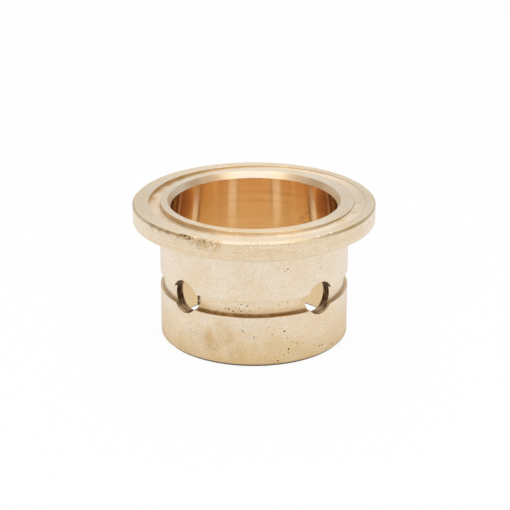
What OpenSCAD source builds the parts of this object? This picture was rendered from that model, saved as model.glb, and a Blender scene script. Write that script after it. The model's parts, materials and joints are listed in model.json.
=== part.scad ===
// Flanged bushing, turned from one bronze casting.
// It stands on its foot with the flange up. The axis is Z and the foot is at z = 0.
// All sizes are in millimetres, and all angles are in degrees.

/* [Sleeve] */
// Diameter of the bore
bore_d = 69.85; // [50:0.05:90]
// Thickness of the sleeve's wall
wall = 4.76; // [3.5:0.01:8]
// Length of the sleeve, from the foot to the underside of the flange
sleeve_length = 50.8; // [40:0.1:80]
// Chamfer round the outside of the foot
foot_chamfer = 1.2; // [0.2:0.1:2]
// Chamfer round the inside of the foot
bore_foot_chamfer = 0.8; // [0.2:0.1:1.2]

/* [Flange] */
// Thickness of the flange, from its underside to its flat land
flange_thickness = 7.94; // [5:0.01:14]
// Mean width of the flat land, from the face groove to the flange's edge
land_width = 5.3; // [3.5:0.1:15]
// Chamfer round the flange's top edge
flange_chamfer = 0.8; // [0.2:0.1:1.5]
// Chamfer round the flange's lower edge
flange_low_chamfer = 0.3; // [0.1:0.1:1.5]
// Radius left by the tool in the corner under the flange
root_radius = 0.8; // [0.2:0.1:2]

/* [Thrust rim] */
// Mean width of the thrust rim, from the bore's mouth to the face groove
rim_width = 4.275; // [3:0.005:8]
// Height of the thrust rim above the flat land
rim_rise = 0.5; // [0.2:0.1:2]
// Width of the lead-in chamfer at the bore's mouth, measured across the face
mouth_width = 1.4; // [0.4:0.1:2]
// Height of the lead-in chamfer at the bore's mouth, measured along the axis
mouth_height = 2.8; // [0.8:0.1:5]

/* [Face groove] */
// Width of the face groove
face_groove_width = 4.9; // [3.5:0.1:8]
// Depth of the face groove below the flat land, on the groove's own axis
face_groove_depth = 0.95; // [0.9:0.05:3]
// How far the groove's axis is set off from the bushing's axis
face_groove_shift = 1.4; // [0:0.1:1.6]
// Lean of the groove's axis, which makes the groove run out towards one side
face_groove_lean = 1.1; // [0:0.1:1.2]
// Bearing of the side where the groove runs out, from X towards Y
face_groove_bearing = 50; // [0:5:355]
// Radius in the corners of the face groove's floor
face_groove_radius = 0.4; // [0.1:0.1:0.7]

/* [Sleeve groove] */
// Height of the sleeve groove's middle above the foot
sleeve_groove_height = 25.4; // [20:0.1:30]
// Width of the sleeve groove
sleeve_groove_width = 7; // [4:0.1:9]
// Depth of the sleeve groove
sleeve_groove_depth = 1.6; // [0.8:0.1:2.5]
// Radius in the corners of the sleeve groove's floor
sleeve_groove_radius = 0.3; // [0.2:0.1:1.5]

/* [Cross holes] */
// Number of oil holes drilled through the sleeve groove
hole_count = 4; // [2:1:8]
// Diameter of an oil hole
hole_d = 13.9; // [8:0.1:18]
// Height of the holes' centres above the middle of the sleeve groove
hole_rise = 0.8; // [-1:0.05:1]

/* [Hidden] */
$fn = 180;

bronze = [0.83, 0.69, 0.45];
// How far a cutter stands clear of the face that it opens
clear = 2;

bore_r = bore_d / 2;
sleeve_r = bore_r + wall;
mouth_r = bore_r + mouth_width;
face_groove_r = mouth_r + rim_width;
flange_r = face_groove_r + face_groove_width + land_width;
land_z = sleeve_length + flange_thickness;
rim_z = land_z + rim_rise;
// The rim's outer edge is left inside the face groove, which trims it.
rim_blank_r = face_groove_r + face_groove_width / 2;
hole_z = sleeve_groove_height + hole_rise;

// Half section of the turned blank, before the grooves are cut and the holes are drilled.
module blank_section() {
    polygon([
        [bore_r + bore_foot_chamfer, 0],
        [sleeve_r - foot_chamfer, 0],
        [sleeve_r, foot_chamfer],
        [sleeve_r, sleeve_length],
        [flange_r - flange_low_chamfer, sleeve_length],
        [flange_r, sleeve_length + flange_low_chamfer],
        [flange_r, land_z - flange_chamfer],
        [flange_r - flange_chamfer, land_z],
        [rim_blank_r, land_z],
        [rim_blank_r, rim_z],
        [mouth_r, rim_z],
        [bore_r, rim_z - mouth_height],
        [bore_r, bore_foot_chamfer],
    ]);
    root_corner_section();
}

// What the tool's nose leaves in the corner between the sleeve and the flange.
module root_corner_section() {
    translate([sleeve_r, sleeve_length - root_radius])
        difference() {
            square(root_radius);
            translate([root_radius, 0]) circle(root_radius);
        }
}

// Section of a groove with round corners on its floor, which lies along Y = 0 between X = 0 and width.
module groove_section(width, height, radius) {
    translate([0, radius]) square([width, height - radius]);
    translate([radius, 0]) square([width - 2 * radius, radius]);
    for (x = [radius, width - radius])
        translate([x, radius]) circle(radius);
}

// Ring that cuts the oil groove in the flange's face, set off the axis and leaning.
module face_groove_cutter() {
    rotate([0, 0, face_groove_bearing])
        translate([face_groove_shift, 0, land_z])
            rotate([0, -face_groove_lean, 0])
                rotate_extrude()
                    translate([face_groove_r, -face_groove_depth])
                        groove_section(face_groove_width, face_groove_depth + rim_rise + clear, face_groove_radius);
}

// Ring that cuts the oil groove round the outside of the sleeve.
module sleeve_groove_cutter() {
    rotate_extrude()
        translate([sleeve_r - sleeve_groove_depth, sleeve_groove_height + sleeve_groove_width / 2])
            rotate(-90)
                groove_section(sleeve_groove_width, sleeve_groove_depth + clear, sleeve_groove_radius);
}

// Oil holes drilled from outside through the sleeve's wall, evenly round the axis.
module cross_hole_cutters() {
    for (i = [0 : hole_count - 1])
        rotate([0, 0, i * 360 / hole_count])
            translate([0, 0, hole_z])
                rotate([0, 90, 0])
                    cylinder(d = hole_d, h = sleeve_r + clear);
}

// The whole bushing is one piece of metal.
module bushing() {
    color(bronze)
        difference() {
            rotate_extrude() blank_section();
            face_groove_cutter();
            sleeve_groove_cutter();
            cross_hole_cutters();
        }
}

bushing();
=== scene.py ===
# %% [markdown]
# A flanged bushing, turned from one bronze casting
#
# This lesson dresses one machine part: a plain bearing sleeve with a thrust flange, standing on its foot.
# The construction comes from the packed frame, which fixes every size. Here we make the surface that the
# eye sees: the same form with broken edges, drilled holes with torn walls, casting pores that the lathe
# has opened, and a bronze whose highlights are drawn out by the turning marks.

# %% The frame
import json

import bpy
import numpy as np
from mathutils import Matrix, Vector


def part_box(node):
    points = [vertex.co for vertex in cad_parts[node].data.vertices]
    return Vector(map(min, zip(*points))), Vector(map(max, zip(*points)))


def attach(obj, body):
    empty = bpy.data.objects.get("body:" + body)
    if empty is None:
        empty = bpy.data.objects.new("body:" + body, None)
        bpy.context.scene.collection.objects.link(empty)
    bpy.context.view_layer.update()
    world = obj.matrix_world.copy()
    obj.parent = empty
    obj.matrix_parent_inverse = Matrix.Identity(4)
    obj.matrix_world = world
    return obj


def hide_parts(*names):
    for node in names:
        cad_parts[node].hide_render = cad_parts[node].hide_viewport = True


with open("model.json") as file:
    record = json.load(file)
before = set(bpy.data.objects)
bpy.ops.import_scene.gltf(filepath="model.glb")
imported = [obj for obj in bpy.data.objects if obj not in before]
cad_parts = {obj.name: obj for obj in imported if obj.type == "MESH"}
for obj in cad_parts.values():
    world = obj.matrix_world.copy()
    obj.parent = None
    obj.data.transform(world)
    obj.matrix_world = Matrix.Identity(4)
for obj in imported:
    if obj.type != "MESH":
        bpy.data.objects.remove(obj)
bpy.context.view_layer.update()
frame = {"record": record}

# %% [markdown]
# Sizes
#
# The large sizes are read from the frame: the flange's radius and the height from the node's box, and the
# bore, the sleeve and the flange's underside from the record's mounts. The small ones, such as chamfers,
# are the part's own drawing sizes. Everything is in metres, so millimetres are written as a number times
# MM.

# %% Sizes
MM = 0.001
mounts = {m["name"]: m for m in frame["record"]["mounts"]}
low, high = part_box("bushing")

flange_r = high.x
rim_z = high.z
bore_r = mounts["bore"]["dims"]["r_mm"] * MM
sleeve_r = mounts["sleeve"]["dims"]["r_mm"] * MM
sleeve_length = mounts["flange_underside"]["pos_m"][2]

rim_rise = 0.5 * MM
land_z = rim_z - rim_rise
foot_chamfer = 1.2 * MM
bore_foot_chamfer = 0.8 * MM
flange_chamfer = 0.8 * MM
flange_low_chamfer = 0.3 * MM
root_radius = 0.8 * MM
mouth_width = 1.4 * MM
mouth_height = 2.8 * MM
print(f"bore {2 * bore_r / MM:.2f}, sleeve {2 * sleeve_r / MM:.2f}, flange {2 * flange_r / MM:.2f} mm")
print(f"height from {low.z / MM:.2f} to {high.z / MM:.2f} mm")

# %% [markdown]
# The oil grooves and the cross holes
#
# One groove runs round the sleeve and feeds four cross holes. The other lies in the flange's face. It was
# cut with the part held off centre and slightly tipped, so it is deep on one side and runs out on the
# other. Seen from the bushing's axis, a circle of radius a whose centre is set off by s has the radius s
# cos(t) + sqrt(a^2 - (s sin t)^2) at the angle t from the set-off, and the tipped floor rises along that
# direction. Those two formulas are all that the off-centre groove needs.

# %% Groove sizes
sleeve_groove_z = 25.4 * MM
sleeve_groove_width = 7.0 * MM
sleeve_groove_depth = 1.6 * MM
sleeve_groove_radius = 0.3 * MM
groove_floor_r = sleeve_r - sleeve_groove_depth
groove_low_z = sleeve_groove_z - sleeve_groove_width / 2
groove_high_z = sleeve_groove_z + sleeve_groove_width / 2
hole_r = 6.95 * MM
hole_z = 26.2 * MM

face_groove_r = 40.6 * MM
face_groove_width = 4.9 * MM
face_groove_depth = 0.95 * MM
face_groove_shift = 1.4 * MM
face_groove_lean = np.radians(1.1)
face_groove_bearing = np.radians(50.0)
face_groove_radius = 0.4 * MM


def off_centre_radius(circle_r, angle):
    """Radius, seen from the axis, of a circle set off by s: s cos t + sqrt(a^2 - (s sin t)^2)."""
    turn = angle - face_groove_bearing
    sideways = face_groove_shift * np.sin(turn)
    return face_groove_shift * np.cos(turn) + np.sqrt(circle_r**2 - sideways**2)


def face_groove_floor(radius, angle):
    """Height of the tipped floor: the land less the depth, plus the rise along the set-off direction."""
    along = radius * np.cos(angle - face_groove_bearing) - face_groove_shift
    return land_z - face_groove_depth + np.tan(face_groove_lean) * along


print(f"sleeve groove from {groove_low_z / MM:.1f} to {groove_high_z / MM:.1f} mm above the foot")

# %% [markdown]
# Mesh helpers
#
# Every surface below is a grid of points, worked out as whole arrays. A grid that closes on itself both
# ways is a ring, such as the bushing. One that closes only one way is a tube, and gets a cap on each end
# so that it can cut.

# %% Mesh helpers


def grid_faces(rows, columns, close_rows=False):
    """Four corners of each cell of a grid whose columns wrap round, and its rows too if close_rows."""
    row = np.arange(rows if close_rows else rows - 1)[:, None]
    column = np.arange(columns)[None, :]
    next_row = (row + 1) % rows
    next_column = (column + 1) % columns
    corners = [
        row * columns + column,
        row * columns + next_column,
        next_row * columns + next_column,
        next_row * columns + column,
    ]
    return np.stack(np.broadcast_arrays(*corners), axis=-1).reshape(-1, 4)


def tube_faces(rows, columns):
    """Faces of a tube of rings with a flat cap on each end. The last cap faces the way the rings go."""
    first_cap = list(range(columns))[::-1]
    last_cap = list(range((rows - 1) * columns, rows * columns))
    return grid_faces(rows, columns).tolist() + [first_cap, last_cap]


def repeated(faces, count, points_each):
    """The same faces for each of several equal point sets that follow one another."""
    return [[corner + k * points_each for corner in face] for k in range(count) for face in faces]


def make_mesh(name, points, faces, materials=()):
    """A mesh object at the origin, with its place in its points."""
    mesh = bpy.data.meshes.new(name)
    mesh.from_pydata(points.reshape(-1, 3).tolist(), [], faces)
    mesh.update()
    for material in materials:
        mesh.materials.append(material)
    made = bpy.data.objects.new(name, mesh)
    bpy.context.scene.collection.objects.link(made)
    return made


print("a capped tube of 3 rings of 4 points has", len(tube_faces(3, 4)), "faces")

# %% [markdown]
# The turned profile
#
# The section that the lathe leaves is a short list of corners, each with the radius of its rounding: small
# where only a tool has been, and broader where a file or wear has been. Because the face groove is off
# centre, its corners are arrays over the angle, and the others are plain numbers that spread over it.

# %% Profile corners
COLUMNS = 336

angle = np.linspace(0, 2 * np.pi, COLUMNS, endpoint=False)
groove_in = off_centre_radius(face_groove_r, angle)
groove_out = off_centre_radius(face_groove_r + face_groove_width, angle)
floor_in = face_groove_floor(groove_in, angle)
floor_out = face_groove_floor(groove_out, angle)
file_wobble = 1 + 0.35 * np.sin(5 * angle + 0.7) * np.sin(13 * angle) + 0.2 * np.sin(31 * angle + 1.9)
filed = 0.13 * MM * file_wobble
turned = 0.08 * MM
worn = 0.7 * MM

corners = [
    (bore_r + bore_foot_chamfer, 0, turned),
    (sleeve_r - foot_chamfer, 0, turned),
    (sleeve_r, foot_chamfer, 0.3 * MM),
    (sleeve_r, groove_low_z, turned),
    (groove_floor_r, groove_low_z, sleeve_groove_radius),
    (groove_floor_r, groove_high_z, sleeve_groove_radius),
    (sleeve_r, groove_high_z, filed),
    (sleeve_r, sleeve_length, root_radius),
    (flange_r - flange_low_chamfer, sleeve_length, turned),
    (flange_r, sleeve_length + flange_low_chamfer, turned),
    (flange_r, land_z - flange_chamfer, turned),
    (flange_r - flange_chamfer, land_z, worn),
    (groove_out, land_z, turned),
    (groove_out, floor_out, face_groove_radius),
    (groove_in, floor_in, face_groove_radius),
    (groove_in, rim_z, filed),
    (bore_r + mouth_width, rim_z, filed),
    (bore_r, rim_z - mouth_height, 0.5 * MM),
    (bore_r, bore_foot_chamfer, turned),
]
print(f"{len(corners)} corners, each at {COLUMNS} angles")

# %% [markdown]
# Rounded corners
#
# A lathe leaves corners that someone then breaks with a file, so no edge of the real part is sharp, and
# each one catches a thin line of light. A bevel modifier could round the finished mesh, but with one width
# for all. Instead, one function rounds every corner of the profile by its own radius.

# %% Rounded profile
ARC_STEPS = 4
ROW_SPACING = 2.4 * MM
SUPPORT = 0.12 * MM
MOST_OF_SIDE = 0.42


def rounded_profile(corners):
    """Rows of a closed profile with rounded corners, as radius and height over the angle.

    At a corner the direction turns by T. The rounding touches each side at R tan(T / 2) from the corner,
    limited to a share of the side, and its points are start + R (d sin a + n (1 - cos a)) for a from 0 to T,
    where d is the incoming direction and n points to the arc's centre. A support row on each side keeps the
    flats flat.
    """
    spread = [np.broadcast_arrays(r, z, size, angle)[:3] for r, z, size in corners]
    r, z, size = (np.stack([one[k] for one in spread]) for k in range(3))
    step = np.stack([np.roll(r, -1, 0) - r, np.roll(z, -1, 0) - z])
    length = np.hypot(*step)
    ahead = step / length
    behind = np.roll(ahead, 1, 1)
    sine = behind[0] * ahead[1] - behind[1] * ahead[0]
    turn = np.arctan2(sine, (behind * ahead).sum(0))
    room = MOST_OF_SIDE * np.minimum(length, np.roll(length, 1, 0))
    reach = np.minimum(size * np.tan(np.abs(turn) / 2), room)
    radius = reach / np.tan(np.abs(turn) / 2)
    inward = np.sign(turn) * np.stack([-behind[1], behind[0]])
    start = np.stack([r, z]) - behind * reach
    bend = np.linspace(0, 1, ARC_STEPS + 1)[:, None, None] * np.abs(turn)
    arc = start + radius * (behind * np.sin(bend)[:, None] + inward * (1 - np.cos(bend))[:, None])
    support = np.minimum(SUPPORT, room - reach + 0.04 * room)
    bends = np.concatenate([arc[:1] - behind * support, arc, arc[-1:] + ahead * support])
    rows = []
    for k in range(len(corners)):
        here = bends[-1, :, k]
        there = bends[0, :, (k + 1) % len(corners)]
        more_rows = int(np.hypot(*(there - here)).mean() / ROW_SPACING)
        share = np.linspace(0, 1, more_rows + 2)[1:-1, None, None]
        rows += [bends[:, :, k], here + share * (there - here)]
    rows = np.concatenate(rows)
    return rows[:, 0], rows[:, 1]


row_r, row_z = rounded_profile(corners)
lathe_points = np.stack([row_r * np.cos(angle), row_r * np.sin(angle), row_z], axis=-1)
lathe_quads = grid_faces(len(row_r), COLUMNS, close_rows=True)
print(f"profile of {len(row_r)} rows, {len(lathe_quads)} quads")

# %% [markdown]
# The camera
#
# The camera comes early, because the pores and stains are placed by where they are seen. It looks down on
# the bushing from between two of the cross holes. Its focal length is given in pixels of the 510 x 510
# picture, and the lens follows from the sensor's width.

# %% The camera
PICTURE = 510
FOCAL = 1721.1
SENSOR = 36.0
view_bearing = np.radians(46.3)
view_height = np.radians(21.338)
view_distance = 729.28 * MM
aim_side = 0.42 * MM
aim_z = 33.88 * MM


def direction(bearing, height):
    """Unit vector at a bearing from -Y towards +X and an angle above the horizon."""
    flat = np.cos(height)
    return np.array([np.sin(bearing) * flat, -np.cos(bearing) * flat, np.sin(height)])


to_camera = direction(view_bearing, view_height)
right = np.array([np.cos(view_bearing), np.sin(view_bearing), 0.0])
up = np.cross(to_camera, right)
aim = aim_side * right + np.array([0, 0, aim_z])
eye = aim + view_distance * to_camera

camera_data = bpy.data.cameras.new("camera")
camera_data.sensor_width = SENSOR
camera_data.lens = FOCAL / PICTURE * SENSOR
camera_data.clip_start = 0.01
camera_data.clip_end = 20
camera = bpy.data.objects.new("camera", camera_data)
camera.location = eye
camera.rotation_mode = "QUATERNION"
camera.rotation_quaternion = Vector(-to_camera).to_track_quat("-Z", "Y")
bpy.context.scene.collection.objects.link(camera)
bpy.context.scene.camera = camera
print(f"camera {view_distance / MM:.0f} mm away, lens {camera_data.lens:.1f} mm")

# %% [markdown]
# From a spot in the picture to a spot on the metal
#
# A pore seen at a pixel lies where the line of sight through that pixel meets the turned surface. For a
# cylinder of radius R that is a quadratic equation in the distance along the line. The nearer root is the
# visible side of an outer wall, and the farther one the visible side of the bore. The flange hides what
# is behind it, so it is tried first, then the sleeve, then the floor of its groove. On the flange's
# chamfer the surface leans in by as much as the point is above the chamfer's lower edge.

# %% Spots on the metal


def sight_lines(spots):
    """Directions from the eye through the pixels: forward by the focal length, across and up by the pixel."""
    offset = np.asarray(spots, float)[:, :2] - PICTURE / 2
    lines = -to_camera * FOCAL + offset[:, :1] * right - offset[:, 1:2] * up
    return lines / np.linalg.norm(lines, axis=1, keepdims=True)


def on_cylinder(lines, radius, side=-1):
    """Nearer point where each line meets the cylinder x^2 + y^2 = R^2, or the farther one with side = 1."""
    a = (lines[:, :2] ** 2).sum(1)
    half_b = lines[:, :2] @ eye[:2]
    c = eye[:2] @ eye[:2] - radius**2
    distance = (-half_b + side * np.sqrt(np.maximum(half_b**2 - a * c, 0))) / a
    return eye + distance[:, None] * lines


def on_outside(spots):
    """Points on the upright walls of the bushing, seen at the given pixels."""
    lines = sight_lines(spots)
    flange = on_cylinder(lines, flange_r)
    lean_in = np.clip(flange[:, 2:] - (land_z - flange_chamfer), 0, flange_chamfer)
    flange[:, :2] *= 1 - lean_in / flange_r
    sleeve = on_cylinder(lines, sleeve_r)
    groove = on_cylinder(lines, groove_floor_r)
    in_groove = (sleeve[:, 2] > groove_low_z) & (sleeve[:, 2] < groove_high_z)
    found = np.where(in_groove[:, None], groove, sleeve)
    return np.where((flange[:, 2] > sleeve_length)[:, None], flange, found)


def in_bore(spots):
    """Points on the far wall of the bore, seen at the given pixels."""
    return on_cylinder(sight_lines(spots), bore_r, side=1)


def on_face(spots):
    """Points on the flange's face, seen at the given pixels."""
    lines = sight_lines(spots)
    return eye + (land_z - eye[2]) / lines[:, 2:] * lines


print("the sleeve's middle is seen at", (on_outside([(255, 290)])[0] / MM).round(1), "mm")

# %% [markdown]
# Shader maths as expressions
#
# A material is a graph of nodes, and its arithmetic is easier to read as Python. Signal wraps one socket:
# adding, multiplying or comparing signals adds the Math nodes.

# %% Shader maths


class Signal:
    """One output socket of a material, for use in expressions such as 1 - mask * 0.5."""

    def __init__(self, finish, socket):
        self.finish = finish
        self.socket = socket

    def math(self, operation, *others, swap=False):
        values = (*others, self) if swap else (self, *others)
        return self.finish.node("ShaderNodeMath", {"operation": operation}, dict(enumerate(values)))

    def __add__(self, other):
        return self.math("ADD", other)

    def __sub__(self, other):
        return self.math("SUBTRACT", other)

    def __rsub__(self, other):
        return self.math("SUBTRACT", other, swap=True)

    def __mul__(self, other):
        return self.math("MULTIPLY", other)

    __radd__ = __add__
    __rmul__ = __mul__

    def most(self, other):
        return self.math("MAXIMUM", other)

    def between(self, start, end):
        """0 at start and 1 at end, with a smooth step from one to the other."""
        settings = {"interpolation_type": "SMOOTHSTEP"}
        return self.finish.node("ShaderNodeMapRange", settings, {"Value": self, 1: start, 2: end})

    def near(self, value, reach):
        """1 where the signal has that value, and 0 where it is off by the reach or more."""
        return (self - value).math("ABSOLUTE").between(reach, 0.3 * reach)


print("a signal can do", ", ".join(name for name in vars(Signal) if not name.startswith("_")))

# %% [markdown]
# Finishes
#
# Finish is one material. Its single method node makes any node from its type, its settings and the values
# or links of its sockets. The other methods are short names for the nodes that come up often.

# %% Finishes


class Finish:
    """One material, made of nodes."""

    def __init__(self, name):
        self.material = bpy.data.materials.new(name)
        self.material.use_nodes = True
        self.tree = self.material.node_tree
        self.tree.nodes.clear()

    def node(self, kind, settings=None, sockets=None, output=0):
        """A node of that type with its settings, then its sockets, given back as one of its outputs."""
        made = self.tree.nodes.new(kind)
        for name, value in (settings or {}).items():
            setattr(made, name, value)
        for key, value in (sockets or {}).items():
            if isinstance(value, Signal):
                self.tree.links.new(value.socket, made.inputs[key])
            else:
                made.inputs[key].default_value = value
        return Signal(self, made.outputs[output] if made.outputs else None)

    def place(self):
        """Object coordinates, which are the frame's own metres."""
        return self.node("ShaderNodeTexCoord", output="Object")

    def axes(self, vector):
        """The three parts of a vector."""
        apart = self.node("ShaderNodeSeparateXYZ", None, {0: vector})
        return [Signal(self, socket) for socket in apart.socket.node.outputs]

    def vector(self, x, y, z):
        return self.node("ShaderNodeCombineXYZ", None, {0: x, 1: y, 2: z})

    def noise(self, vector, scale, detail=3.0):
        return self.node("ShaderNodeTexNoise", None, {"Vector": vector, "Scale": scale, "Detail": detail})

    def spots(self, vector, points, reach):
        """1 at any of the points, and 0 where all of them are farther than the reach."""
        found = None
        for point in points:
            sockets = {0: vector, 1: tuple(point)}
            away = self.node("ShaderNodeVectorMath", {"operation": "DISTANCE"}, sockets, "Value")
            mask = away.between(reach, 0.2 * reach)
            found = mask if found is None else found.most(mask)
        return found

    def mix(self, share, first, second):
        """A colour between first and second, by the share of second."""
        return self.node("ShaderNodeMix", {"data_type": "RGBA"}, {0: share, 6: first, 7: second}, output=2)

    def bump(self, height, strength, depth):
        return self.node("ShaderNodeBump", None, {"Height": height, "Strength": strength, "Distance": depth})

    def metal(self, **sockets):
        """Ends the material in one Principled shader. A _ in a socket's name stands for a space."""
        named = {key.replace("_", " "): value for key, value in sockets.items()}
        return self.surface(self.node("ShaderNodeBsdfPrincipled", None, named))

    def surface(self, shader):
        self.node("ShaderNodeOutputMaterial", None, {"Surface": shader})
        return self.material


def across(first, second):
    """Length of two distances at right angles: sqrt(a^2 + b^2)."""
    return (first * first + second * second).math("SQRT")


print("a finish can make", ", ".join(name for name in vars(Finish) if not name.startswith("_")))

# %% [markdown]
# Turned bronze: its colour
#
# The outside is bare bearing bronze as the lathe left it: cloudy, yellower where oil has dried, and painted
# paler at the sleeve's sides, a painted sheen that stands for the white room's reflection there. A painted
# texture could show that, but it needs an image. Here noise gives the clouds and the fine lines round the
# axis, and each stain or patch of painted sheen is a soft ball of colour round a few points that were found
# by their pixels, so it stays on the metal from any side. The sum of height and radius counts the tool's
# path on walls and faces alike.

# %% Bronze tint
PALE_BRONZE = (0.945, 0.825, 0.665, 1)
DEEP_BRONZE = (0.895, 0.685, 0.405, 1)
# Yellow for stains and oil, also used as painted shade on the face groove's floor.
YELLOW_STAIN_AND_SHADE = (0.73, 0.51, 0.25, 1)

front_spots = on_outside([(254, 254)])
# Spots where the sleeve's sides are painted paler: a painted sheen for the white room's reflection.
side_sheen_spots = on_outside([(163.5, 258), (163.5, 276), (344.5, 258), (344.5, 276)])
low_sheen_spots = on_outside([(191, 336), (328, 333), (322, 343)])
rim_spots = on_face([(250, 233), (285, 231), (215, 229)])
stain_spots = on_outside([(208, 337), (226, 336), (222, 330), (212, 346), (238, 355)])
hole_stain_spots = on_outside([(199, 302), (203, 306), (304, 306), (305, 301)])


def lathe_path(finish):
    """The place, its x, y and z, its distance from the axis, and the tool's path: height plus distance."""
    place = finish.place()
    x, y, z = finish.axes(place)
    radius = across(x, y)
    return place, x, y, z, radius, z + radius


def bronze_tint(f):
    """Cloudy pale bronze, yellower on the flange's side and towards the foot, painted paler at the sleeve's
    sides as a painted sheen, with lines round the axis.
    """
    place, x, y, z, radius, path = lathe_path(f)
    clouds = f.noise(place, 85.0, 4.0).between(0.42, 0.66)
    mottle = f.noise(place, 420.0, 3.0).between(0.35, 0.75)
    grit = f.noise(place, 1500.0, 2.0).between(0.35, 0.70)
    lines = f.noise(f.vector(x * 45, y * 45, path * 1300), 1.0, 3.0).between(0.40, 0.75)
    low_down = z.between(27 * MM, 1 * MM)
    below_edge = z.between(land_z - 0.7 * flange_chamfer, land_z - 1.3 * flange_chamfer)
    flange_side = radius.between(46 * MM, 50 * MM) * below_edge * f.spots(place, front_spots, 66 * MM)
    in_groove = radius.between(sleeve_r - 0.6 * MM, sleeve_r - 1.2 * MM)
    in_groove = in_groove * z.between(groove_high_z + MM, groove_high_z)
    land = radius.between(44.5 * MM, 46 * MM) * z.between(land_z - 0.3 * MM, land_z - 0.1 * MM)
    rim = f.spots(place, rim_spots, 18 * MM) * z.between(land_z, land_z + 0.3 * MM)
    # Painted sheen: the sleeve's sides are painted paler, for the white room's reflection there.
    lightened = f.spots(place, side_sheen_spots, 18 * MM).most(f.spots(place, low_sheen_spots, 12 * MM))
    deep = clouds * 0.30 + mottle * 0.20 + grit * 0.25 + lines * 0.25 - 0.20
    deep = deep + low_down * 0.7 + flange_side * (0.4 - clouds * 0.25)
    deep = deep + in_groove * 0.35 + land * 0.15 + rim * 0.5 - lightened * 0.4
    colour = f.mix(deep, PALE_BRONZE, DEEP_BRONZE)
    cloudy = f.noise(f.vector(x, y, z * 0.6), 190.0, 5.0).between(0.32, 0.66)
    blotches = f.spots(place, stain_spots, 6.5 * MM).most(f.spots(place, hole_stain_spots, 4 * MM))
    blotches = blotches * (0.3 + 0.7 * cloudy)
    washes = clouds * low_down * 0.20 + flange_side * (mottle * 0.12 + lines * 0.26)
    return f.mix((blotches * 0.8).most(washes), colour, YELLOW_STAIN_AND_SHADE)


stain_count = len(stain_spots) + len(hole_stain_spots)
print(f"{stain_count} stains on the sleeve, the first at", (stain_spots[0] / MM).round(1), "mm")

# %% [markdown]
# Turned bronze: painted shade and dirt in the sleeve groove
#
# The groove's lower corner is painted dark: painted shade, with some old oil, thickest between the two
# front holes. A turned corner is a circle, so the distance from it, sqrt((r - corner r)^2 + (z - corner
# z)^2), tells how dark the metal is painted. A darker mesh in the corner could show it too, but this way the
# dark fades out smoothly. The ledge below the corner is dull and oily.

# %% Sleeve groove shade and dirt
BROWN_STAIN = (0.23, 0.11, 0.03, 1)
GROOVE_SHADE_AND_DIRT = (0.30, 0.145, 0.033, 1)
WALL_STAIN = (0.76, 0.55, 0.30, 1)

# The groove's front, where its corner is painted darkest (painted shade with some oil) and oiliest below.
groove_front_spots = on_outside([(232, 313), (272, 313)])
grime_spots = on_outside([(198.6, 296.5), (199, 299.5), (199.2, 302.5)])


def patchy_film(f, place, scale):
    """How thick a film lies, from 0.7 to 1, in patches."""
    return 0.7 + 0.3 * f.noise(place, scale, 3.0).between(0.35, 0.6)


def groove_shade_and_dirt(f):
    """1 where the sleeve groove's lower corner is painted dark, painted shade with some old oil, in a wider
    band between the front holes.
    """
    place, _, _, z, radius, _ = lathe_path(f)
    from_corner = across(radius - groove_floor_r, z - groove_low_z)
    on_ledge = radius.between(groove_floor_r + 0.4 * MM, groove_floor_r + 0.9 * MM)
    thick = from_corner.between(1.7 * MM, 0.5 * MM) * f.spots(place, groove_front_spots, 36 * MM)
    thick = thick * (1 - on_ledge * 0.3)
    corner = thick.most(from_corner.between(0.6 * MM, 0.2 * MM) * 0.45)
    return corner.most(f.spots(place, grime_spots, 1.2 * MM)) * patchy_film(f, place, 260.0)


def groove_stained(f, colour):
    """A dull ledge at the groove's lower edge, and an oily yellow round its corner."""
    place, _, _, z, radius, _ = lathe_path(f)
    ledge = z.near(groove_low_z, 0.15 * MM) * radius.between(sleeve_r + 0.1 * MM, sleeve_r - 0.3 * MM)
    colour = f.mix(ledge * 0.62, colour, WALL_STAIN)
    from_corner = across(radius - groove_floor_r, z - groove_low_z)
    oily = from_corner.between(4.2 * MM, 1.4 * MM) * f.spots(place, groove_front_spots, 40 * MM)
    oily = oily * z.between(groove_low_z - 0.3 * MM, groove_low_z)
    return f.mix(oily * patchy_film(f, place, 160.0) * 0.7, colour, YELLOW_STAIN_AND_SHADE)


# The corner's dark is painted shade, with some old oil.
print(f"dirt lies in the corner at radius {groove_floor_r / MM:.2f} and height {groove_low_z / MM:.2f} mm")

# %% [markdown]
# Turned bronze: tarnish on the flange, and painted shade in its groove and at the foot
#
# The face groove's walls are circles round the groove's own axis, so a radius taken from that axis finds
# them. They are tarnished, and so is the chamfer at the flange's edge, except at the front and at the
# flange's two ends, where the tarnish is left off as a painted highlight and sheen. The outer side of the
# groove's floor on the left is painted darker, a painted shade, and a dark ring round the foot is painted
# shade where it meets the table. All of these are bands of radius or height, mixed over the colour one
# after another.

# %% Flange tarnish and painted shade
# Painted shade where the foot stands on the table.
FOOT_SHADE = (0.16, 0.11, 0.07, 1)
groove_side = face_groove_shift * np.array([np.cos(face_groove_bearing), np.sin(face_groove_bearing)])
groove_outer_r = face_groove_r + face_groove_width
chamfer_path = flange_r + land_z - flange_chamfer

# Where the tarnish is left off: a painted highlight at the front and a painted sheen at the flange's ends.
front_highlight_spots = on_outside([(262, 243.5)])
flange_sheen_ends = on_outside([(136, 211), (374, 211)])
face_stain_spots = on_face([(357.5, 202.5), (354, 212), (342, 220)])
# Where the face groove's floor is painted darker: painted shade.
face_groove_shade_spots = on_face([(152, 195), (160, 187), (170, 181), (182, 176)])
scribed_spots = on_face([(352, 186), (362, 194), (365, 203)])
smudge_spots = on_outside([(152, 225), (160, 229), (168, 231.5), (176, 235), (200, 244)])


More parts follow.
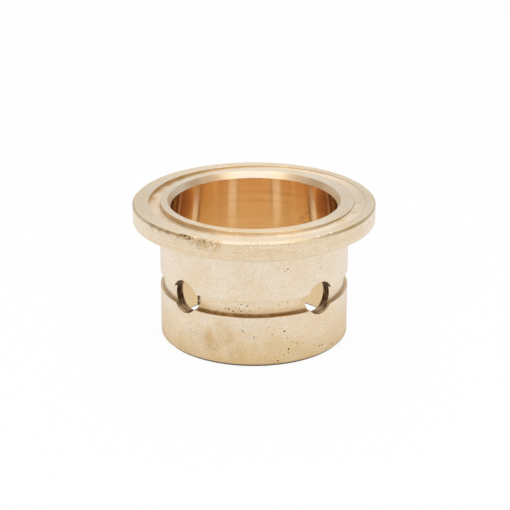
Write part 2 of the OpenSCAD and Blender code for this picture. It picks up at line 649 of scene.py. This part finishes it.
def face_groove_places(f):
    """Distance from the face groove's own axis, and masks of its upright walls and of its floor."""
    _, x, y, z, _, _ = lathe_path(f)
    own_radius = across(x - groove_side[0], y - groove_side[1])
    on_flange = z.between(sleeve_length + 2 * MM, sleeve_length + 3 * MM)
    inner_wall = own_radius.near(face_groove_r + 0.05 * MM, 0.3 * MM) * z.between(rim_z, rim_z - 0.25 * MM)
    outer_wall = own_radius.near(groove_outer_r - 0.05 * MM, 0.3 * MM) * z.between(land_z, land_z - 0.25 * MM)
    floor = own_radius.between(face_groove_r - 0.2 * MM, face_groove_r)
    floor = floor * own_radius.between(groove_outer_r + 0.2 * MM, groove_outer_r)
    floor = floor * z.between(land_z - 0.1 * MM, land_z - 0.3 * MM)
    return own_radius, inner_wall.most(outer_wall) * on_flange, floor * on_flange


def face_stained(f, colour, outside_highlight):
    """Tarnished groove walls, a few stains on the face, painted shade on the left outer side of the groove's
    floor, and the tool's line where the groove runs out.
    """
    place, _, _, z, _, _ = lathe_path(f)
    film = patchy_film(f, place, 160.0)
    own_radius, walls, _ = face_groove_places(f)
    # Less tarnish on the walls at the front and the ends: painted highlight.
    colour = f.mix(walls * film * (0.50 + 0.40 * outside_highlight), colour, WALL_STAIN)
    colour = f.mix(f.spots(place, face_stain_spots, 2.2 * MM) * film * 0.5, colour, YELLOW_STAIN_AND_SHADE)
    # Painted shade: the outer side of the face groove's floor on the left is painted darker.
    floor_shade = f.spots(place, face_groove_shade_spots, 5.5 * MM)
    floor_shade = floor_shade * z.between(land_z - 0.1 * MM, land_z - 0.3 * MM)
    floor_shade = floor_shade * own_radius.between(face_groove_r + 1.0 * MM, face_groove_r + 3.4 * MM)
    colour = f.mix(floor_shade * 0.7, colour, YELLOW_STAIN_AND_SHADE)
    scribed = own_radius.near(groove_outer_r, 0.3 * MM) * f.spots(place, scribed_spots, 9 * MM)
    return f.mix(scribed * 0.5, colour, YELLOW_STAIN_AND_SHADE)


def edge_stained(f, colour, outside_highlight):
    """Tarnish along the flange's chamfer, smudges below it, and a dark ring round the foot: painted shade
    where it meets the table.
    """
    place, _, _, z, radius, path = lathe_path(f)
    chamfer = path.between(chamfer_path - 0.25 * MM, chamfer_path)
    # The chamfer's tarnish is left off at the front and the ends: painted highlight and sheen.
    colour = f.mix(chamfer * patchy_film(f, place, 160.0) * outside_highlight * 0.85, colour, YELLOW_STAIN_AND_SHADE)
    smudge = f.spots(place, smudge_spots, 3.2 * MM) * radius.between(flange_r - 0.9 * MM, flange_r - 0.5 * MM)
    smudge = smudge * f.noise(place, 500.0, 4.0).between(0.32, 0.62)
    colour = f.mix(smudge * 0.42, colour, BROWN_STAIN)
    colour = f.mix(z.between(5 * MM, 1 * MM) * 0.35, colour, YELLOW_STAIN_AND_SHADE)
    # A dark ring round the foot: painted shade where it meets the table.
    return f.mix(z.between(1.7 * MM, 0.7 * MM) * 0.9, colour, FOOT_SHADE)


def stained(f, colour):
    """All the stains of the outside, mixed over its colour, kept off where a painted highlight or sheen
    falls.
    """
    place = f.place()
    outside_highlight = 1 - f.spots(place, front_highlight_spots, 38 * MM).most(f.spots(place, flange_sheen_ends, 22 * MM) * 0.9)
    return edge_stained(f, face_stained(f, groove_stained(f, colour), outside_highlight), outside_highlight)


print(f"the face groove's axis is off by {np.hypot(*groove_side) / MM:.1f} mm")

# %% [markdown]
# Turned bronze: the whole finish
#
# The tool's fine spiral runs round the axis, so a highlight spreads along the axis and stays narrow round
# it. Fine scratches could be modelled, but Cycles has that spread built in: without a link, a shader's
# tangent runs round the object's Z axis, and a quarter turn of the anisotropy lays the spread along Z on
# the walls and outwards on the face. The casting was torn at one place of the flange's edge, where the
# metal is crumbly and brown.

# %% Turned bronze
ALONG_Z = 0.25
patch_spots = on_outside([(184, 236), (192, 240), (200, 243), (208, 245), (216, 246)])
smear_spots = on_outside([(180.5, 234.5), (184, 236), (188, 238), (203, 241.5)])


def casting_flaws(f, place, cast_patch, colour):
    """Brown crumbs and smears at the torn place, and fine specks where the casting is porous."""
    porous = f.noise(place, 70.0, 2.0).between(0.50, 0.72)
    specks = f.noise(place, 1100.0, 1.0).between(0.68, 0.77) * porous.most(cast_patch)
    crumbs = cast_patch * f.noise(place, 1200.0, 4.0).between(0.55, 0.68) * 0.6
    smear = f.spots(place, smear_spots, 1.5 * MM) * f.noise(place, 900.0, 4.0).between(0.36, 0.58)
    yellow = cast_patch * f.noise(place, 600.0, 3.0).between(0.34, 0.60)
    colour = f.mix(yellow * 0.7, colour, YELLOW_STAIN_AND_SHADE)
    return f.mix(specks.most(crumbs).most(smear) * 0.85, colour, BROWN_STAIN)


def turned_bronze():
    """Satin bronze with turning lines, painted shade and dirt in the groove, stains and flaws, rougher in the
    groove's shade and dirt, in tears and in the face groove.
    """
    f = Finish("turned_bronze")
    place, x, y, _, radius, path = lathe_path(f)
    # Painted shade, with some old oil, in the sleeve groove's lower corner.
    shade_and_dirt = groove_shade_and_dirt(f)
    colour = f.mix(shade_and_dirt, stained(f, bronze_tint(f)), GROOVE_SHADE_AND_DIRT)
    grain = f.noise(place, 1400.0, 2.0)
    streaks = f.noise(f.vector(x * 30, y * 30, path * 2600), 1.0, 3.0).between(0.45, 0.70)
    streaks = streaks * radius.between(flange_r - 0.6 * MM, flange_r - 0.2 * MM)
    colour = f.mix(grain.between(0.30, 0.72) * 0.14 + streaks * 0.07, colour, BROWN_STAIN)
    cast_patch = f.spots(place, patch_spots, 3.6 * MM)
    colour = casting_flaws(f, place, cast_patch, colour)
    _, _, groove_floor = face_groove_places(f)
    edge = path.between(chamfer_path - 0.6 * MM, chamfer_path - 0.2 * MM)
    rough = groove_floor.most(edge).most(shade_and_dirt)
    lines = f.noise(f.vector(x * 45, y * 45, path * 1700), 1.0, 3.0)
    return f.metal(
        Base_Color=colour,
        Metallic=1 - shade_and_dirt * 0.3,
        Roughness=0.35 + (grain - 0.5) * 0.15 + cast_patch * 0.12 + rough * 0.22,
        Normal=f.bump(lines + grain * 0.5 + cast_patch * grain * 3.0, 0.3, 0.03 * MM),
        Anisotropic=0.45,
        Anisotropic_Rotation=ALONG_Z,
    )


finishes = {"turned_bronze": turned_bronze()}
print("turned bronze has", len(finishes["turned_bronze"].node_tree.nodes), "nodes")

# %% [markdown]
# The bore and its lead-in
#
# The bore is bored and reamed, so it is smoother and its highlights are drawn out the most: upright lamps
# become upright bars. It is painted browner on two sides, a painted shade for light that bounces there many
# times, and paler towards the foot, a painted reflection of the lit table inside. The lead-in at its mouth
# was scraped by hand, in no direction, so it is an even satin with no spread, painted darker on two sides
# as painted shade and paler at the back and the far left as painted highlights. Each is a material of its
# own, because each comes from another step of the work.

# %% Bored and scraped bronze
BORE_LOW = (1.0, 0.84, 0.56, 1)
BORE_HIGH = (0.98, 0.665, 0.35, 1)
BORE_RINGS = (0.88, 0.52, 0.24, 1)
BORE_SIDE_SHADE = (0.66, 0.38, 0.27, 1)
LEAD_IN_PALE = (1.0, 0.86, 0.66, 1)
LEAD_IN_DEEP = (1.0, 0.77, 0.51, 1)
LEAD_IN_MARKS = (0.90, 0.67, 0.42, 1)
LEAD_IN_SHADE = (0.70, 0.47, 0.26, 1)
LEAD_IN_HIGHLIGHT = (1.0, 0.95, 0.86, 1)

bore_smudge = in_bore([(302, 218), (307, 214), (304, 221)])
# Where the bore's sides are painted browner: painted shade.
bore_shade_spots = in_bore([(184, 206), (324, 206)])
# Where the lead-in is painted darker (painted shade) and paler (painted highlights).
lead_in_shade_spots = in_bore([(213, 180), (195, 185), (297, 180), (314, 185)])
lead_in_highlight_spots = in_bore([(254, 176), (180, 191)])


def bored_bronze():
    """Smooth bronze with rings left by the reamer, painted browner at two sides (painted shade) and paler
    towards the foot (painted reflection of the lit table).
    """
    f = Finish("bored_bronze")
    place, x, y, z, _, _ = lathe_path(f)
    rings = f.noise(f.vector(x * 25, y * 25, z * 1100), 1.0, 4.0)
    clouds = f.noise(f.vector(x * 70, y * 70, z * 200), 1.0, 3.0).between(0.40, 0.72)
    # Paler towards the foot: a painted reflection of the lit table inside.
    upper = z.between(20 * MM, 34 * MM)
    colour = f.mix(upper, BORE_LOW, BORE_HIGH)
    ringed = (rings.between(0.45, 0.78) * 0.50 + clouds * 0.2) * (0.2 + 0.8 * upper)
    colour = f.mix(ringed, colour, BORE_RINGS)
    # Painted shade: the bore's two sides are browned, for light that bounces there many times.
    colour = f.mix(f.spots(place, bore_shade_spots, 11 * MM) * 0.9, colour, BORE_SIDE_SHADE)
    dark = f.spots(place, bore_smudge, 2.4 * MM) * f.noise(place, 900.0, 3.0).between(0.45, 0.62)
    colour = f.mix(dark * 0.4, colour, BROWN_STAIN)
    return f.metal(
        Base_Color=colour,
        Metallic=1.0,
        Roughness=0.148 + rings * 0.05,
        Normal=f.bump(rings, 0.12, 0.02 * MM),
        Anisotropic=1.0,
        Anisotropic_Rotation=ALONG_Z,
    )


def scraped_bronze():
    """Even satin bronze with faint scraper marks, for the lead-in at the bore's mouth, painted darker at two
    sides (painted shade) and paler at the back and far left (painted highlights).
    """
    f = Finish("scraped_bronze")
    place, x, y, z, _, _ = lathe_path(f)
    marks = f.noise(f.vector(x * 90, y * 90, z * 900), 1.0, 3.0).between(0.38, 0.72)
    clouds = f.noise(place, 110.0, 3.0).between(0.38, 0.70)
    deep = z.between(rim_z - 0.2 * MM, rim_z - 2.6 * MM)
    colour = f.mix(deep, LEAD_IN_PALE, LEAD_IN_DEEP)
    colour = f.mix(marks * 0.3 + clouds * 0.3, colour, LEAD_IN_MARKS)
    # Painted shade on the lead-in's two sides.
    colour = f.mix(f.spots(place, lead_in_shade_spots, 10 * MM) * 0.55, colour, LEAD_IN_SHADE)
    # Painted highlights at the lead-in's back and far left.
    colour = f.mix(f.spots(place, lead_in_highlight_spots, 12 * MM) * 0.6, colour, LEAD_IN_HIGHLIGHT)
    return f.metal(Base_Color=colour, Metallic=1.0, Roughness=0.52 + marks * 0.05)


finishes |= {make.__name__: make() for make in (bored_bronze, scraped_bronze)}
# The bore tarnish printed here is painted shade.
print("bore tarnish at", (bore_shade_spots / MM).round(1).tolist(), "mm")

# %% [markdown]
# The small finishes
#
# The cross holes' walls are dark and torn, and lighter towards the bottom. Pores show dull casting skin,
# fresh nicks show bare bright metal, and old oil has baked to a crust. One finish with masks could cover
# them all, but the faces that a cut leaves take the material of the shape that made them, so each has its
# own.

# %% Small finishes
HOLE_DARK = (0.055, 0.028, 0.012, 1)
HOLE_TORN = (0.38, 0.25, 0.13, 1)
PORE_DARK = (0.03, 0.011, 0.003, 1)
PORE_BROWN = (0.11, 0.045, 0.012, 1)
FRESH_BRONZE = (1.0, 0.94, 0.82, 1)
CRUST_BLACK = (0.035, 0.018, 0.007, 1)
CRUST_BROWN = (0.19, 0.10, 0.035, 1)


def drilled_wall():
    """Dark, torn in streaks round the drill, and lighter towards the bottom."""
    f = Finish("drilled_wall")
    place, x, y, z, radius, _ = lathe_path(f)
    streaks = f.noise(f.vector(radius * 2200, z * 250, (x - y) * 250), 1.0, 4.0)
    patches = f.noise(place, 420.0, 3.0)
    lightened = z.between(hole_z - 0.35 * hole_r, hole_z - 0.9 * hole_r)
    torn = (streaks * 0.6 + patches * 0.4 + lightened * 0.12).between(0.44, 0.70)
    colour = f.mix(torn, HOLE_DARK, HOLE_TORN)
    lip = radius.between(sleeve_r - 1.5 * MM, sleeve_r - 0.6 * MM)
    colour = f.mix(lip * (0.3 + 0.4 * patches), colour, WALL_STAIN)
    normal = f.bump(streaks + patches, 0.6, 0.12 * MM)
    return f.metal(Base_Color=colour, Metallic=0.8, Roughness=0.55 - torn * 0.12, Normal=normal)


def casting_pore():
    """The inside of a pore: dark, dull casting skin."""
    f = Finish("casting_pore")
    colour = f.mix(f.noise(f.place(), 2500.0, 2.0), PORE_DARK, PORE_BROWN)
    return f.metal(Base_Color=colour, Metallic=0.0, Specular_IOR_Level=0.0, Roughness=0.9)


def fresh_bronze():
    """Bare bright metal in a fresh nick."""
    f = Finish("fresh_bronze")
    return f.metal(Base_Color=FRESH_BRONZE, Metallic=1.0, Roughness=0.3)


def oil_crust():
    """Old oil, baked hard: nearly black with brown patches, and a little shine."""
    f = Finish("oil_crust")
    patches = f.noise(f.place(), 1300.0, 3.0).between(0.36, 0.60)
    colour = f.mix(patches, CRUST_BLACK, CRUST_BROWN)
    return f.metal(Base_Color=colour, Metallic=0.2, Roughness=0.45, Normal=f.bump(patches, 0.5, 0.05 * MM))


finishes |= {make.__name__: make() for make in (drilled_wall, casting_pore, fresh_bronze, oil_crust)}
print("finishes:", ", ".join(finishes))

# %% [markdown]
# The turned body
#
# The profile goes round the axis as one closed ring of quads. A screw modifier could turn a curve, but the
# off-centre groove needs a profile that changes with the angle. Faces on the bore's radius get the bored
# finish, and those of the lead-in above it the scraped one.

# %% The turned body
lathe_finishes = [finishes[name] for name in ("turned_bronze", "bored_bronze", "scraped_bronze")]
bushing = make_mesh("turned_bushing", lathe_points, lathe_quads.tolist(), lathe_finishes)
face_r = row_r.reshape(-1)[lathe_quads].mean(1)
face_z = row_z.reshape(-1)[lathe_quads].mean(1)
bored = face_r < bore_r + 0.02 * MM
scraped = ~bored & (face_r < bore_r + mouth_width - 0.05 * MM) & (face_z > sleeve_length)
bushing.data.polygons.foreach_set("material_index", (bored + 2 * scraped).astype(np.int32))
print(f"{len(bushing.data.vertices)} points, {len(bushing.data.polygons)} faces")

# %% [markdown]
# Drilled cross holes
#
# A drill could be a plain cylinder, but a real hole has a torn wall and a broken edge. The cutter is a
# tube whose rings follow the bore on the inside and the groove or the land on the outside, so that it can
# open out by a hair right where it meets each surface. Its radius is hole + edge e^(-depth / length) at
# both ends, plus drill marks.

# %% Cross-hole cutters
HOLE_COUNT = 4
HOLE_COLUMNS = 120
edge_break = 0.10 * MM
edge_length = 0.15 * MM
torn_depth = 0.04 * MM
MIDDLE_ROWS = 10
inner_rows = np.array([-3.0, -0.2, 0.0, 0.08, 0.2, 0.4]) * MM
outer_rows = np.array([-0.5, -0.25, -0.12, 0.0, 0.2, 3.0]) * MM


def hole_cutter(index):
    """Tube along the drill: y = rho cos a, z = hole height + rho sin a, x from the bore to past the land."""
    around = np.linspace(0, 2 * np.pi, HOLE_COLUMNS, endpoint=False)
    side = hole_r * np.cos(around)
    height = hole_z + hole_r * np.sin(around)
    from_groove = np.abs(height - sleeve_groove_z) - sleeve_groove_width / 2
    on_land = 0.5 + 0.5 * np.tanh(from_groove / (0.25 * MM))
    local_r = groove_floor_r + sleeve_groove_depth * on_land
    inner = np.sqrt(bore_r**2 - side**2)
    outer = np.sqrt(local_r**2 - side**2)
    share = np.linspace(0, 1, MIDDLE_ROWS + 2)[1:-1, None]
    middle = inner + inner_rows[-1] + share * (outer + outer_rows[0] - inner - inner_rows[-1])
    depth = np.concatenate([inner + inner_rows[:, None], middle, outer + outer_rows[:, None]])
    marks = np.sin(depth / (0.17 * MM) + 2 * np.sin(around + index)) * np.sin(3 * around + index * 1.7)
    marks = marks + 0.7 * np.sin(17 * around + depth / (0.4 * MM) + index)
    rho = hole_r + torn_depth * marks
    rho = rho + edge_break * np.exp(-np.maximum(outer - depth, 0) / edge_length)
    rho = rho + 0.6 * edge_break * np.exp(-np.maximum(depth - inner, 0) / edge_length)
    points = np.stack([depth, rho * np.cos(around), hole_z + rho * np.sin(around)], axis=-1)
    turn = index * 2 * np.pi / HOLE_COUNT
    spin = np.array([[np.cos(turn), np.sin(turn), 0], [-np.sin(turn), np.cos(turn), 0], [0, 0, 1]])
    return points @ spin


hole_grids = np.stack([hole_cutter(k) for k in range(HOLE_COUNT)])
hole_rows = hole_grids.shape[1]
hole_faces = repeated(tube_faces(hole_rows, HOLE_COLUMNS), HOLE_COUNT, hole_rows * HOLE_COLUMNS)
hole_cutters = make_mesh("hole_cutters", hole_grids, hole_faces, [finishes["drilled_wall"]])
print(f"{HOLE_COUNT} hole cutters, {len(hole_faces)} faces")

# %% [markdown]
# Pores of the casting
#
# Bronze castings hold small gas pores, and the lathe opens those that it meets. A pore could be a dark
# dot of paint, but a real hollow has a lit edge and a shaded wall, so each is a lumpy ball cut out of the
# metal. The balls are laid out round the cylinder that carries them: s along its circumference, h along
# the axis, d outwards, so a long flaw bends with the wall.

# %% Pore shapes
BALL_ROWS = 5
BALL_COLUMNS = 9
PX = view_distance / FOCAL
PORE_SHARE = 0.75
PORE_HEIGHT = 0.9
PORE_DEPTH = 1.3
PORE_LUMPS = 0.22
random = np.random.default_rng(7)


def ball_faces():
    """Faces of one ball: a grid of rings between its two poles, which are the first and the last point."""
    ring = 1 + np.arange(BALL_COLUMNS)
    beside = 1 + (np.arange(BALL_COLUMNS) + 1) % BALL_COLUMNS
    last = 1 + BALL_ROWS * BALL_COLUMNS
    step = (BALL_ROWS - 1) * BALL_COLUMNS
    bottom = np.stack([np.zeros_like(ring), beside, ring], axis=-1)
    top = np.stack([ring + step, beside + step, np.full_like(ring, last)], axis=-1)
    return bottom.tolist() + (grid_faces(BALL_ROWS, BALL_COLUMNS) + 1).tolist() + top.tolist()


def lumpy_balls(centres, half_sizes, lumps):
    """Balls on the cylinder through each centre: place = (R + d) at the bearing + s / R, and height + h.

    A unit ball's point is (cos v cos u, cos v sin u, sin v). It is made lumpy by the factor
    1 + lumps (sin(2u + a) cos(2v + b) + 0.7 sin(3u + c) cos v), with random a, b and c.
    """
    rise = np.linspace(-np.pi / 2, np.pi / 2, BALL_ROWS + 2)[1:-1]
    around = np.linspace(0, 2 * np.pi, BALL_COLUMNS, endpoint=False)
    v = np.concatenate([[-np.pi / 2], np.repeat(rise, BALL_COLUMNS), [np.pi / 2]])
    u = np.concatenate([[0], np.tile(around, BALL_ROWS), [0]])
    a, b, c = random.uniform(0, 2 * np.pi, (3, len(centres), 1))
    lump = 1 + lumps * (np.sin(2 * u + a) * np.cos(2 * v + b) + 0.7 * np.sin(3 * u + c) * np.cos(v))
    unit = np.stack([np.cos(v) * np.cos(u), np.cos(v) * np.sin(u), np.sin(v)])
    s, h, d = lump * unit[:, None] * np.asarray(half_sizes, float).T[:, :, None]
    radius = np.hypot(centres[:, 0], centres[:, 1])[:, None]
    bearing = np.arctan2(centres[:, 1], centres[:, 0])[:, None] + s / radius
    out = radius + d
    return np.stack([out * np.cos(bearing), out * np.sin(bearing), centres[:, 2:] + h], axis=-1)


print(f"a pore has {2 + BALL_ROWS * BALL_COLUMNS} points; one pixel is {PX / MM:.2f} mm")

# %% [markdown]
# Where the pores are
#
# Those seen in the picture are placed by their pixels, with a width in pixels. The torn place on the
# flange's upper edge is a crowd of them strewn along a short line. The far side gets a seeded scatter of
# the same kind, in crowds as on the side that is seen. Pores that would run into an earlier one are left
# out, so that every cutter is clean.

# %% Pore places
pores_seen = [
    (229, 309, 2.1), (233, 311, 2.2), (241, 311.5, 1.6), (241, 304.5, 1.5), (247, 306, 1.8),
    (222.5, 299.5, 1.0), (215, 312.5, 1.5), (242.7, 331, 2.0), (254, 337.3, 1.7), (196, 332, 1.4),
    (199, 333.5, 1.2), (288, 269, 1.9), (285, 271.5, 1.3), (284.5, 331.2, 2.3), (287.5, 338, 1.5),
    (297, 342.8, 1.5), (303, 343.2, 1.2), (288.7, 349, 2.3), (288.3, 352.3, 1.5), (283.5, 354.6, 1.3),
    (278, 361, 2.0), (319, 346, 1.8), (322, 345, 1.8), (332, 344, 2.0), (268.5, 327.3, 1.3),
    (278.5, 304.5, 1.2), (287.5, 302, 1.4), (259, 308.4, 1.2), (250.5, 311.6, 1.3), (236, 307, 1.1),
    (232, 307.3, 1.3), (235.2, 312.5, 1.2), (225, 308.4, 1.2), (244.8, 333.2, 1.3), (272.3, 334.4, 1.2),
    (291.5, 341.8, 1.2), (245, 350.3, 1.0), (253, 352, 0.9), (273.6, 363, 1.3),
]
long_flaws = [
    (183.5, 236.0, 2.0, 2.6), (189.5, 238.8, 1.4, 2.2), (186.0, 239.0, 1.2, 1.6), (178.8, 233.6, 1.0, 2.0),
]


def crowd(start, end, count, spread, widths):
    """Pores strewn along a line in the picture, from start to end, with a normal spread across it."""
    share = random.uniform(0, 1, (count, 1))
    spots = np.array(start) + share * (np.array(end) - np.array(start)) + random.normal(0, spread, (count, 2))
    return np.column_stack([spots, random.uniform(*widths, count)])


def far_side(crowds, each):
    """Centres of pores in crowds on both lands of the side that isn't seen, and their widths."""
    bearing = view_bearing + np.pi / 2 + random.uniform(-1.1, 1.1, (crowds, 1))
    bearing = bearing + random.normal(0, 0.2, (crowds, each))
    height = random.choice([11, 14, 36, 42], (crowds, 1)) * MM + random.normal(0, 3 * MM, (crowds, each))
    centres = np.stack([sleeve_r * np.cos(bearing), sleeve_r * np.sin(bearing), height], axis=-1)
    centres = centres.reshape(-1, 3)
    return centres, random.uniform(0.5, 1.6, len(centres))


def clear_of_each_other(centres, reach):
    """Which balls stay: each one that doesn't touch an earlier one that stays."""
    stays = []
    for k in range(len(centres)):
        gaps = [np.linalg.norm(centres[k] - centres[j]) - reach[k] - reach[j] for j in stays]
        if min(gaps, default=1.0) > 0:
            stays.append(k)
    return stays


long_seen = np.array(long_flaws)
torn_edge = crowd((194, 239.5), (216, 246.5), 18, (0.8, 1.6), (0.45, 1.0))
groove_specks = crowd((222, 306), (252, 312), 16, (1.5, 1.2), (0.7, 1.2))
seen = np.concatenate([long_seen[:, :3], np.array(pores_seen), torn_edge, groove_specks])
far_centres, far_widths = far_side(8, 5)
pore_centres = np.concatenate([on_outside(seen), far_centres])
pore_half = np.concatenate([seen[:, 2], far_widths]) * PORE_SHARE * PX / 2
pore_stretch = random.uniform(0.9, 1.4, len(pore_half))
pore_stretch[: len(long_seen)] = long_seen[:, 3]
stays = clear_of_each_other(pore_centres, pore_half * PORE_DEPTH * pore_stretch)
pore_sizes = pore_half[:, None] * np.column_stack(np.broadcast_arrays(pore_stretch, PORE_HEIGHT, PORE_DEPTH))
pore_balls = lumpy_balls(pore_centres[stays], pore_sizes[stays], PORE_LUMPS)
pore_faces = repeated(ball_faces(), len(pore_balls), pore_balls.shape[1])
pore_cutters = make_mesh("pore_cutters", pore_balls, pore_faces, [finishes["casting_pore"]])
print(f"{len(stays)} pores of {len(pore_centres)} tried")

# %% [markdown]
# Nicks and crust
#
# Two small marks finish the edges. Something has knocked the edge of the flange's land, and the nicks
# glint. At the edge of one cross hole stands a crust of old oil, taller than wide. A bright or dark dot
# of paint would not catch the light, so both are lumpy balls again: the nicks are cut out with the fresh
# finish, and the crust is added.

# %% Nicks and crust
nicks_seen = [(318.4, 236.2), (323.9, 235.2), (331.0, 232.6), (195.0, 237.4)]
NICK_HALF = np.array([0.60, 0.28, 0.50]) * MM
NICK_LUMPS = 0.2
crust_seen = [(198.6, 297.6), (198.5, 303.0)]
CRUST_HALF = np.array([[0.50, 1.55, 0.40], [0.42, 0.95, 0.34]]) * MM
CRUST_LUMPS = 0.18

nick_balls = lumpy_balls(on_face(nicks_seen), np.tile(NICK_HALF, (len(nicks_seen), 1)), NICK_LUMPS)
nick_faces = repeated(ball_faces(), len(nick_balls), nick_balls.shape[1])
nick_cutters = make_mesh("nick_cutters", nick_balls, nick_faces, [finishes["fresh_bronze"]])
crust_balls = lumpy_balls(on_outside(crust_seen), CRUST_HALF, CRUST_LUMPS)
crust_faces = repeated(ball_faces(), len(crust_balls), crust_balls.shape[1])
crust = make_mesh("crust", crust_balls, crust_faces, [finishes["oil_crust"]])
print(f"{len(nick_balls)} nicks, {len(crust_balls)} lumps of crust")

# %% [markdown]
# Cutting
#
# Boolean modifiers take the holes, the pores and the nicks out of the turned body and add the crust. New
# faces keep the finish of the shape that made them. The result becomes the body's own mesh, and the tools
# are removed.

# %% Cutting
SHARP = np.radians(40)


def combine(body, steps):
    """Cuts each shape out of the body, or adds it, for good."""
    for shape, operation in steps:
        step = body.modifiers.new(shape.name, "BOOLEAN")
        step.operation = operation
        step.solver = "MANIFOLD"
        step.material_mode = "TRANSFER"
        step.object = shape
    depsgraph = bpy.context.evaluated_depsgraph_get()
    whole = body.data
    body.data = bpy.data.meshes.new_from_object(body.evaluated_get(depsgraph))
    body.modifiers.clear()
    bpy.data.meshes.remove(whole)
    for shape, operation in steps:
        bpy.data.meshes.remove(shape.data)


cuts = [(shape, "DIFFERENCE") for shape in (hole_cutters, pore_cutters, nick_cutters)]
combine(bushing, cuts + [(crust, "UNION")])
bushing.data.name = "turned_bushing"
bushing.data.shade_smooth()
bushing.data.set_sharp_from_angle(angle=SHARP)
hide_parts("bushing")
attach(bushing, "root")
bushing.data.calc_loop_triangles()
print(f"cut bushing: {len(bushing.data.loop_triangles)} triangles, {len(bushing.data.materials)} finishes")

# %% [markdown]
# Stage and light
#
# The part stands on a plain white table, as for a catalogue picture. The world is the dim white room. Two
# upright strip lights stand in front, to the left and right of the camera, and draw the bright bars in
# the bore. A wide soft box hangs overhead, and a white wall stands behind, brighter high up. The eye sees
# the table nearly shadowless, while the metal mirrors the shaded table close to the foot.

# %% Stage and light
FLOOR_HALF = 3.0
SEEN_LIFT = 0.94
OTHER_LIFT = 0.27
TABLE_WHITE = (0.92, 0.92, 0.92, 1)
ROOM_LIGHT = 0.45


def white_table():
    """Matte white, lifted a little towards pure white, and nearly all the way where it is seen directly."""
    f = Finish("white_table")
    matte = f.node("ShaderNodeBsdfDiffuse", None, {"Color": TABLE_WHITE})
    glow = f.node("ShaderNodeEmission", None, {"Color": (1, 1, 1, 1), "Strength": 1.0})
    seen = f.node("ShaderNodeLightPath", output="Is Camera Ray")
    lift = OTHER_LIFT + seen * (SEEN_LIFT - OTHER_LIFT)
    return f.surface(f.node("ShaderNodeMixShader", None, {0: lift, 1: matte, 2: glow}))


floor_points = np.array([(-1, -1, 0), (1, -1, 0), (1, 1, 0), (-1, 1, 0)]) * FLOOR_HALF
floor = make_mesh("table", floor_points, [(0, 1, 2, 3)], [white_table()])


def soft_box(name, bearing, height, distance, width, length, radiance):
    """An area light at a bearing from the camera, facing the bushing. Power is radiance x pi x area."""
    data = bpy.data.lights.new(name, "AREA")
    data.shape = "RECTANGLE"
    data.size = width
    data.size_y = length
    data.energy = radiance * np.pi * width * length
    box = bpy.data.objects.new(name, data)
    outward = direction(view_bearing + np.radians(bearing), np.radians(height))
    box.location = aim + distance * outward
    box.rotation_mode = "QUATERNION"
    box.rotation_quaternion = Vector(-outward).to_track_quat("-Z", "Y")
    bpy.context.scene.collection.objects.link(box)


strip = dict(height=42, distance=1.6, width=0.25, length=0.9, radiance=7.4)
soft_box("strip_left", bearing=-35, **strip)
soft_box("strip_right", bearing=35, **strip)
soft_box("overhead", bearing=180, height=84, distance=1.4, width=1.6, length=1.6, radiance=0.8)
soft_box("white_wall", bearing=180, height=22, distance=2.2, width=3.2, length=1.4, radiance=0.16)
soft_box("high_wall", bearing=180, height=44, distance=2.0, width=1.6, length=0.6, radiance=1.6)

world = bpy.data.worlds.new("room")
world.use_nodes = True
world.node_tree.nodes["Background"].inputs["Color"].default_value = (1, 1, 1, 1)
world.node_tree.nodes["Background"].inputs["Strength"].default_value = ROOM_LIGHT
bpy.context.scene.world = world
bpy.context.scene.view_settings.view_transform = "Standard"
print(f"{len(bpy.data.lights)} soft boxes")
